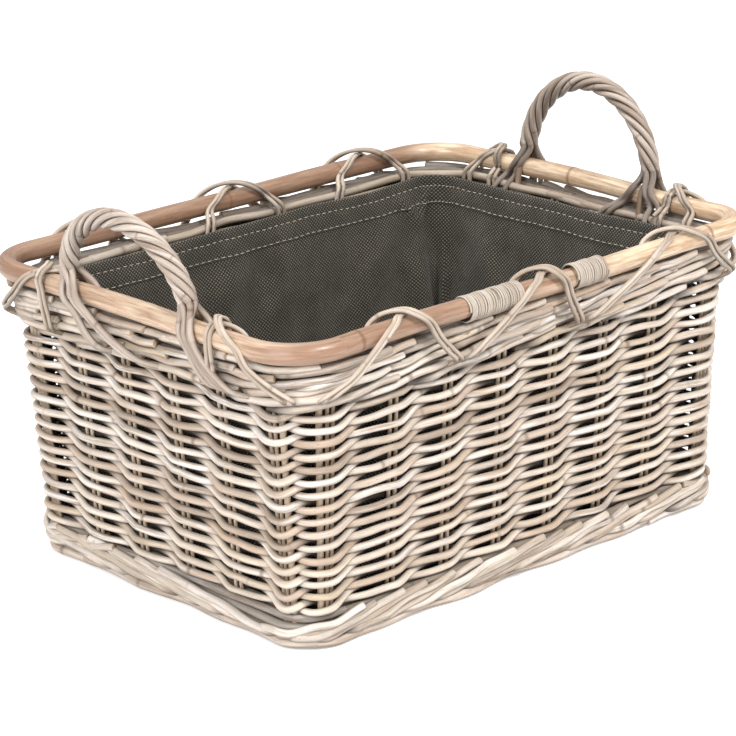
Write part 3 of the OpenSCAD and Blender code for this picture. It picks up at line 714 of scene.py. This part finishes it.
def lashings():
    """Crossed pairs, their feet as the CAD places them: stations of the lower pair's outer foot,
    the upper pair's inner foot, the crossing, the lower pair's inner and the upper's outer foot."""
    crossings = {
        "lashing_front_left": (-0.019, 0.034, 0.068, 0.106, 0.125),
        "lashing_front_middle": (0.143, 0.201, 0.236, 0.273, 0.277),
        "lashing_front_right": (0.295, 0.366, 0.402, 0.434, 0.483)}
    for name, at in (("left", 0.395), ("middle", 0.228), ("right", 0.062)):
        u = BACK + at
        crossings["lashing_back_" + name] = (u - 0.073, u - 0.045, u, u + 0.045, u + 0.075)
    for name, at, way in (("left_front", LEFT + 2 * CY, 1), ("left_back", LEFT, -1),
                          ("right_front", RIGHT, -1), ("right_back", RIGHT + 2 * CY, 1)):
        u = at - way * 0.047
        crossings["lashing_" + name] = (
            (u + 0.003, u - 0.002, u, u + 0.034, u + 0.079) if way > 0
            else (u - 0.079, u - 0.034, u, u + 0.002, u - 0.003))
    for name, (out_low, in_high, top, in_low, out_high) in crossings.items():
        rods = Rods(8)
        lash(rods, out_low, top, in_low, 0.0002, LOWER)
        lash(rods, out_high, top, in_high, 2 * CANE_R + 0.0008, UPPER)
        rods.build(name + "_canes", CANE, "lashing_cane", name)


# ---- handles ----

SPAN = 0.084                        # half the spacing of a handle's feet
RISE = {-1: 0.084, 1: 0.101}        # centre line above the pole's, left and right
TILT = {-1: math.radians(8), 1: math.radians(2)}
ARCH_BASE = 0.012
ROPE_LOW = 0.026                    # where the rope begins above the pole's centre
TURNS = 2.3333
STRAND_R = 0.0031
ROPE_R = 0.0067
ROLL = POLE_R + STRAND_R + 0.0006   # a tail's centre as it goes round the pole
LEAD = np.array([0.03, 0.02, 0.01, 0.0])        # shares of the rope that a tail starts along


def tilted(end, p):
    """A point of the handle's own frame, x out, z up from the pole's centre, in the basket's."""
    p = np.atleast_2d(p)
    c, s = math.cos(TILT[end]), end * math.sin(TILT[end])
    return np.stack([end * RIM_X + p[:, 0] * c + p[:, 2] * s, p[:, 1],
                     POLE_Z - p[:, 0] * s + p[:, 2] * c], -1)


def arch(end, t, out=0.0, across=0.0):
    """A point of the handle's arch at share t, out from its centre line and across its plane."""
    tall = RISE[end] - ARCH_BASE
    first = math.asin((ROPE_LOW - ARCH_BASE) / tall)
    a = first + (math.pi - 2 * first) * t
    return np.stack([across + 0 * t, (SPAN + out) * np.cos(a), ARCH_BASE + (tall + out) * np.sin(a)], -1)


def rope_line(end, strand, t):
    turn = TAU * strand / 6 + math.radians(30) + TAU * TURNS * t
    return arch(end, t, ROPE_R * np.cos(turn), ROPE_R * np.sin(turn))


def handles():
    """Six rods laid as a rope round each bow. At each foot some go down the outer face of the
    border and the rest over the pole's inner side."""
    # For each foot (+Y, -Y): reach along the pole of the outer rods and of the inner rods
    feet = {-1: (((0.034, 0.042, 0.084, 0.094), (0.030, 0.042)),
                 ((0.034, 0.042, 0.050, 0.060), (0.030, 0.042))),
            1: (((-0.012, 0.004, 0.018, -0.026), (0.024, 0.036)),
                ((0.012, -0.006), (0.030, 0.041, -0.026, -0.036)))}
    for end, name in ((-1, "left"), (1, "right")):
        rods = Rods(12)
        middle = (LEFT if end < 0 else RIGHT) + CY
        for foot in (0, 1):
            at = 0.0 if foot == 0 else 1.0
            starts = np.vstack([tilted(end, rope_line(end, k, np.array([at]))) for k in range(6)])
            order = np.argsort(-starts[:, 0] * end)          # outermost first
            outer_reach, inner_reach = feet[end][foot]
            y_foot = SPAN if foot == 0 else -SPAN
            station = middle + end * y_foot * (CY / (RIM_Y - BEND))
            outer = sorted(order[:len(outer_reach)], key=lambda k: starts[k, 1] * end)
            inner = sorted(order[len(outer_reach):], key=lambda k: starts[k, 1] * end)
            plan = [(k, 1, reach) for k, reach in zip(outer, sorted(outer_reach))]
            plan += [(k, -1, reach) for k, reach in zip(inner, sorted(inner_reach))]
            for k, face, reach in plan:
                lead = tilted(end, rope_line(end, k, LEAD if foot == 0 else 1 - LEAD))
                offset = (lead[-1, 1] - y_foot) * end
                p, q = station + offset, station + 0.6 * offset
                if face > 0:
                    points = [ring(p + 0.06 * reach, ROLL * 0.72, POLE_Z + ROLL * 0.78, 1.0),
                              ring(p + 0.14 * reach, ROLL * 1.06, POLE_Z + 0.002, 1.0),
                              ring(q + 0.36 * reach, 0.0228, 0.2620),
                              ring(q + 0.72 * reach, 0.0236, 0.2470),
                              ring(q + 1.0 * reach, 0.0200, 0.2370),
                              ring(q + 1.12 * reach, 0.0100, 0.2330)]
                else:
                    points = [ring(p + 0.20 * reach, -ROLL * 0.98, POLE_Z + 0.006, 1.0),
                              ring(p + 0.45 * reach, -ROLL * 0.98, POLE_Z - 0.005, 1.0),
                              ring(p + 0.75 * reach, -0.0116, 0.2640),
                              ring(p + 1.05 * reach, -0.0116, 0.2440)]
                path = curve([*lead, *points], 0.0036)
                # groove paints shade on the flanks where the rope's rods lie against each other
                rods.add(path, np.linspace(STRAND_R, STRAND_R * 0.76, len(path)),
                         up=(end, 0, 0.25), tint=0.7 * rng.random(), wash=rng.random() * 0.7,
                         groove=0.55)
        rods.build(f"handle_feet_{name}_rods", ROPE, "rope_rods", f"handle_feet_{name}")
        rope = Rods(12)
        t = np.linspace(0.0, 1.0, 110)
        for k in range(6):
            path = tilted(end, rope_line(end, k, t))
            centre = tilted(end, arch(end, t))
            # groove paints shade on the flanks where the rope's rods lie against each other
            rope.add(path, STRAND_R, up=path - centre, tint=rng.random(), groove=0.9)
        rope.build(f"handle_rope_{name}_rods", ROPE, "rope_rods", f"handle_rope_{name}")


# ---- liner ----

liner_low, liner_high = ends("liner")
LINER_TOP, LINER_FLOOR = liner_high[2], liner_low[2] + 0.0010
LINER_OUT = -0.0167                 # middle of the cloth, inside the line of the uprights
CLOTH = 0.0016
STITCHES = 236                      # in one row round the basket


def creases(u, z):
    """How far the cloth hangs in from the wall: soft billows, folds from the corners and one
    pinched fold by the back right corner."""
    down = LINER_TOP - z
    loose = smooth(down, 0.004, 0.06)
    total = 0.0016 * (1 + 0.8 * wobble(u, 31, 5, 16)) * loose
    total = total + 0.0012 * (1 + wobble(u + 0.35 * z, 32, 14, 30)) * loose
    for corner in (1, 3, 5, 7):
        middle = LEGS[corner] + ARC / 2
        r = np.random.default_rng(corner)
        for _ in range(5):
            at = middle + r.uniform(-0.085, 0.085)
            slope = r.uniform(-0.6, 0.6)
            wide = r.uniform(0.007, 0.014)
            deep = r.uniform(0.0022, 0.0055)
            start = r.uniform(0.02, 0.07)
            near = np.mod(u - at - slope * down + AROUND / 2, AROUND) - AROUND / 2
            total = total + deep * np.exp(-((near / wide) ** 2)) * smooth(down, start, start + 0.07)
    # The pinched fold: two ridges that meet a hand's breadth below the edge
    at, half, depth = LEGS[3] + 0.086, 0.040, 0.040
    side = np.mod(u - at + AROUND / 2, AROUND) - AROUND / 2
    line = np.abs(side) - half * (1 - np.clip(down / depth, 0, 1.0))
    ridge = np.exp(-((line / 0.0065) ** 2)) * smooth(down, 0.006, 0.03) * (1 - smooth(down, 0.036, 0.062))
    trough = np.exp(-((side / 0.020) ** 2)) * smooth(down, 0.048, 0.10)
    total = total + 0.0062 * ridge + 0.0055 * trough
    return np.clip(total, 0, 0.016)


def cloth_lengths(u):
    """Length along the cloth at u, rounded so that the weave meets itself round the basket."""
    fine = np.linspace(0, AROUND, 2001)
    line = ring(fine, LINER_OUT, 0.16)
    s = np.concatenate([[0], np.cumsum(np.linalg.norm(np.diff(line, axis=0), axis=1))])
    s *= round(s[-1] / 0.0038) * 0.0038 / s[-1]
    return np.interp(u, fine, s)


def grid_faces(rows, columns, start=0):
    """Quads of a grid that closes round its columns."""
    i = np.arange(rows - 1)[:, None] * columns + start
    j = np.arange(columns)[None]
    k = (j + 1) % columns
    return np.stack([i + j, i + k, i + columns + k, i + columns + j], -1).reshape(-1, 4)


def quad_area(co, faces):
    """Total area of the quads, each taken as a parallelogram."""
    first = co[faces[:, 0]]
    crosses = np.cross(co[faces[:, 1]] - first, co[faces[:, 3]] - first)
    return float(np.linalg.norm(crosses, axis=1).sum())


def liner():
    """The cloth, its hem band folded over the top edge, and the two rows of stitches."""
    columns = 300
    u = np.linspace(0, AROUND, columns, endpoint=False)
    # The last column repeats the first, so that the weave does not fold back on itself
    u = np.append(u, AROUND)
    along = cloth_lengths(u)
    round_r = 0.022
    levels = [LINER_TOP - x for x in np.linspace(0, LINER_TOP - LINER_FLOOR - round_r, 46)]
    rows, coords = [], []
    edge_wave = 0.0009 * wobble(u, 35, 5, 18)
    for z in levels:
        zz = z + edge_wave * (1 - smooth(LINER_TOP - z, 0, 0.05))
        rows.append(ring(u, LINER_OUT - creases(u, z), zz))
        coords.append(np.stack([along, 0 * u + (LINER_TOP - z), 0 * u], -1))
    base = creases(u, levels[-1])
    for a in np.linspace(0, math.pi / 2, 7)[1:]:
        z = LINER_FLOOR + round_r * (1 - math.sin(a))
        inward = round_r * (1 - math.cos(a))
        rows.append(ring(u, LINER_OUT - base * (1 - a / 2) - inward, z))
        coords.append(np.stack([along, 0 * u + (LINER_TOP - levels[-1]) + round_r * a, 0 * u], -1))
    walls = len(rows)
    co, cloth = np.vstack(rows), np.vstack(coords)
    n = len(u)
    i = np.arange(walls - 1)[:, None] * n
    j = np.arange(n - 1)[None]
    faces = np.stack([i + j, i + n + j, i + n + j + 1, i + j + 1], -1).reshape(-1, 4)
    # The base panel, from the seam in to the basket's long middle line
    seam = rows[-1][:-1]
    reach = CX - CY
    middle = np.stack([np.clip(seam[:, 0], -reach, reach), 0 * seam[:, 1], seam[:, 2]], -1)
    panel = []
    for s in np.linspace(0, 1, 22):
        p = seam * (1 - s) + middle * s
        p[:, 2] += 0.0012 * np.sin(p[:, 0] * 31 + 1) * np.cos(p[:, 1] * 27) * s \
            + 0.0009 * smooth(s, 0, 0.3) * (1 + np.sin(p[:, 0] * 60 + p[:, 1] * 45))
        panel.append(p)
    start = len(co)
    co = np.vstack([co, *panel])
    cloth = np.vstack([cloth, *[np.stack([p[:, 0], p[:, 1], 0 * p[:, 0]], -1) for p in panel]])
    base_faces = grid_faces(22, n - 1, start)[:, ::-1]
    sheet = piece("liner_cloth", co, np.vstack([faces, base_faces]), FABRIC,
                  ("liner",), {"cloth": cloth})
    solid = sheet.modifiers.new("cloth_thickness", "SOLIDIFY")
    solid.thickness, solid.offset = CLOTH, 0.0

    # Hem: folded over the top edge and stitched down inside
    section = [(-0.0012, 0.0070), (-0.0013, 0.0005), (-0.0009, -0.0009), (0.0, -0.0015),
               (0.0010, -0.0009), (0.0017, 0.0005), (0.0019, 0.0040), (0.0018, 0.0080),
               (0.0014, 0.0092), (0.0018, 0.0104), (0.0019, 0.0160), (0.0018, 0.0240),
               (0.0014, 0.0255), (0.0017, 0.0266), (0.0014, 0.0278), (0.0004, 0.0283)]
    hem_rows, hem_cloth = [], []
    walked = 0.0
    for k, (inward, down) in enumerate(section):
        z = LINER_TOP - max(down, 0)
        zz = LINER_TOP - down + edge_wave * (1 - smooth(down, 0, 0.05))
        hem_rows.append(ring(u, LINER_OUT - creases(u, z) - inward, zz))
        if k:
            walked += math.hypot(inward - section[k - 1][0], down - section[k - 1][1])
        hem_cloth.append(np.stack([along, 0 * u + walked, 0 * u], -1))
    i = np.arange(len(section) - 1)[:, None] * n
    hem_faces = np.stack([i + j, i + n + j, i + n + j + 1, i + j + 1], -1).reshape(-1, 4)
    hem = piece("liner_hem_band", np.vstack(hem_rows), hem_faces, FABRIC,
                ("liner_hem",), {"cloth": np.vstack(hem_cloth)})

    # Stitches, each a short raised thread
    stitches = Rods(5)
    for down in (0.0092, 0.0255):
        for k in range(STITCHES):
            at = AROUND * (k + 0.5) / STITCHES
            half = 0.00215
            v = at + np.linspace(-half, half, 4)
            z = LINER_TOP - down + 0.0009 * wobble(v, 35, 5, 18) * (1 - smooth(down, 0, 0.05)) \
                + 0.00025 * math.sin(k * 1.3)
            lift = np.array([0.0012, 0.0020, 0.0020, 0.0012])
            path = ring(v, LINER_OUT - creases(v, LINER_TOP - down + 0 * v) - lift, z)
            stitches.add(path, 0.00036, up=outward(v), nodes=[])
    thread_piece = stitches.build("liner_stitches", THREAD, "liner_fabric")
    area = quad_area(co, faces)
    area += quad_area(co, base_faces)
    # Cut: a base with a wall folded up from each side
    wide = 2 * (RIM_X - 0.030) + 2 * (LINER_TOP - LINER_FLOOR) - 0.09
    round(wide, 3)


# ---- CAD nodes that stay ----

def dress_cad():
    finishes = {"uprights_": (STAKE, "woven_rods"), "corner_posts_": (STAKE, "woven_rods"),
                "corner_rods_": (STAKE, "woven_rods"), "floor_ribs": (RIB, "woven_rods"),
                "floor_ring": (STAKE, "woven_rods"), "handle_bow_": (CORE, "rope_rods")}
    for name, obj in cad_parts.items():
        for start, (material, slot) in finishes.items():
            if name.startswith(start):
                obj.data.materials.clear()
                obj.data.materials.append(material)


# ---- studio ----

def studio():
    size = 9.0
    mesh = bpy.data.meshes.new("studio_floor")
    mesh.from_pydata([(-size, -size, 0), (size, -size, 0), (size, size, 0), (-size, size, 0)], [],
                     [(0, 1, 2, 3)])
    floor = bpy.data.objects.new("studio_floor", mesh)
    bpy.context.scene.collection.objects.link(floor)
    g = Graph("studio_floor")
    mottle = g.noise(g.node("ShaderNodeNewGeometry").outputs["Position"], (3, 3, 3), 2)
    mesh.materials.append(g.finish(Base_Color=g.mix(mottle, (0.86, 0.86, 0.86), (0.89, 0.89, 0.89)),
                                   Roughness=0.6, Specular_IOR_Level=0.2,
                                   Emission_Color=(1.0, 1.0, 1.0, 1.0), Emission_Strength=0.40))

    world = bpy.data.worlds.new("studio")
    bpy.context.scene.world = world
    world.use_nodes = True
    world.node_tree.nodes["Background"].inputs["Color"].default_value = (1.0, 1.0, 1.0, 1.0)
    world.node_tree.nodes["Background"].inputs["Strength"].default_value = 0.56

    def lamp(name, place, aim, width, power, colour=(1, 1, 1)):
        data = bpy.data.lights.new(name, "AREA")
        data.shape, data.size, data.energy, data.color = "SQUARE", width, power, colour
        obj = bpy.data.objects.new(name, data)
        bpy.context.scene.collection.objects.link(obj)
        obj.location = place
        obj.rotation_mode = "QUATERNION"
        obj.rotation_quaternion = (Vector(aim) - Vector(place)).to_track_quat("-Z", "Y")

    lamp("key", (0.1, -1.8, 2.3), (0, 0, 0.15), 0.6, 52, (1.0, 0.985, 0.96))
    lamp("fill", (-2.4, -0.7, 1.5), (0, 0, 0.15), 1.4, 50, (0.98, 0.99, 1.0))
    lamp("top", (0.0, 0.9, 2.4), (0, 0, 0.2), 1.2, 24)


def camera():
    """The photograph's view: over the front left corner, 18 degrees down."""
    azimuth, elevation, roll = math.radians(-42.2067), math.radians(18.2588), math.radians(-1.5592)
    back = Vector((math.sin(azimuth) * math.cos(elevation),
                   -math.cos(azimuth) * math.cos(elevation), math.sin(elevation)))
    level = Vector((math.cos(azimuth), math.sin(azimuth), 0))
    upright = back.cross(level)
    right = level * math.cos(roll) + upright * math.sin(roll)
    above = upright * math.cos(roll) - level * math.sin(roll)
    place = right * -0.0091 + Vector((0, 0, 0.156)) + back * 3.003
    data = bpy.data.cameras.new("camera")
    data.sensor_width, data.lens = 36.0, 154.8
    data.clip_start, data.clip_end = 0.1, 60
    cam = bpy.data.objects.new("camera", data)
    bpy.context.scene.collection.objects.link(cam)
    matrix = Matrix((right, above, back)).transposed().to_4x4()
    matrix.translation = place
    cam.matrix_world = matrix
    bpy.context.scene.camera = cam
    bpy.context.scene.view_settings.view_transform = "Standard"


twined_wall()
top_border()
foot_border()
woven_floor()
pole()
whippings()
lashings()
handles()
liner()
dress_cad()
studio()
camera()
